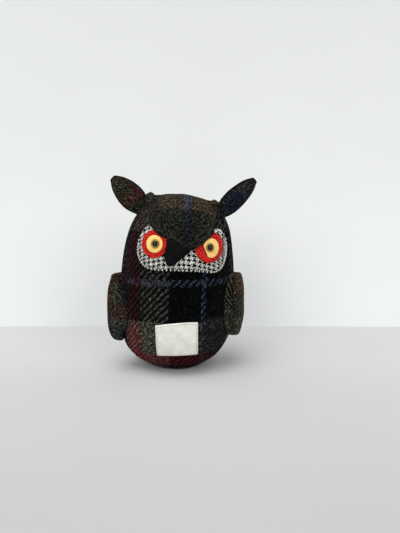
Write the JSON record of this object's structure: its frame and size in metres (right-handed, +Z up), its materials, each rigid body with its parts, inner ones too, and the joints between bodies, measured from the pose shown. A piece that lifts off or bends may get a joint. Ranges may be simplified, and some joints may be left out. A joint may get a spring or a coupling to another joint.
{
  "type": "stuffed toy owl",
  "caption": "Egg-shaped stuffed owl in plaid tweed, with appliqued eyes, felt beak, brow flap, ears and hanging wings, weighted to stand on its flat base.",
  "frame": {"origin": "centre of the flat base that the owl stands on", "axes": "+Z up, -Y the way the owl faces, +X to the right of someone who faces it"},
  "size_m": [0.1324, 0.1012, 0.1742],
  "materials": {
    "body_tweed": "plaid twill, felted matt",
    "brow_tweed": "salt-and-pepper twill, felted matt",
    "wing_tweed": "flecked plaid twill, felted matt",
    "ear_tweed": "flecked twill, felted matt",
    "houndstooth": "small black and white check, matt",
    "red_wool": "brushed woven wool",
    "yellow_felt": "pressed felt",
    "black_felt": "pressed felt",
    "label_cotton": "close woven tape",
    "calico": "plain weave",
    "polyester_fibre": "loose fibre",
    "eye_iris": "moulded gloss",
    "eye_pupil": "moulded gloss",
    "washer_plastic": "moulded matt",
    "pellets": "loose moulded granules"
  },
  "bodies": {
    "body": {"front_panel": "body_tweed", "right_back_panel": "body_tweed", "left_back_panel": "body_tweed", "base_panel": "body_tweed", "body_stuffing": "polyester_fibre", "pellet_bag": "calico", "pellet_fill": "pellets", "face_mask": "houndstooth", "brow_flap": "brow_tweed", "beak": "black_felt", "cloth_label": "label_cotton", "left_wool_patch": "red_wool", "left_felt_disc": "yellow_felt", "left_eye_lens": "eye_iris", "left_eye_pupil": "eye_pupil", "left_eye_washer": "washer_plastic", "right_wool_patch": "red_wool", "right_felt_disc": "yellow_felt", "right_eye_lens": "eye_iris", "right_eye_pupil": "eye_pupil", "right_eye_washer": "washer_plastic"},
    "left_wing": {"left_wing_outer": "wing_tweed", "left_wing_inner": "wing_tweed", "left_wing_wadding": "polyester_fibre"},
    "left_ear": {"left_ear_front": "ear_tweed", "left_ear_back": "ear_tweed"},
    "right_wing": {"right_wing_outer": "wing_tweed", "right_wing_inner": "wing_tweed", "right_wing_wadding": "polyester_fibre"},
    "right_ear": {"right_ear_front": "ear_tweed", "right_ear_back": "ear_tweed"}
  },
  "joints": [
    {"name": "left_wing_lift", "type": "hinge", "parent": "body", "child": "left_wing", "pos_m": [-0.04787, -0.0154, 0.087], "axis": [-0.3554, 0.9347, 0], "range_deg": [0, 75]},
    {"name": "right_wing_lift", "type": "hinge", "parent": "body", "child": "right_wing", "pos_m": [0.05184, -0.01224, 0.087], "axis": [-0.2837, -0.9589, 0], "range_deg": [0, 75]},
    {"name": "left_ear_flex", "type": "hinge", "parent": "body", "child": "left_ear", "pos_m": [-0.03244, 0, 0.14726], "axis": [-0.7132, 0, -0.7009], "range_deg": [-30, 30], "stiffness_Nm_per_rad": 0.008},
    {"name": "right_ear_flex", "type": "hinge", "parent": "body", "child": "right_ear", "pos_m": [0.04347, 0, 0.14362], "axis": [-0.5115, -0.6691, 0.5391], "range_deg": [-30, 30], "stiffness_Nm_per_rad": 0.008}
  ]
}
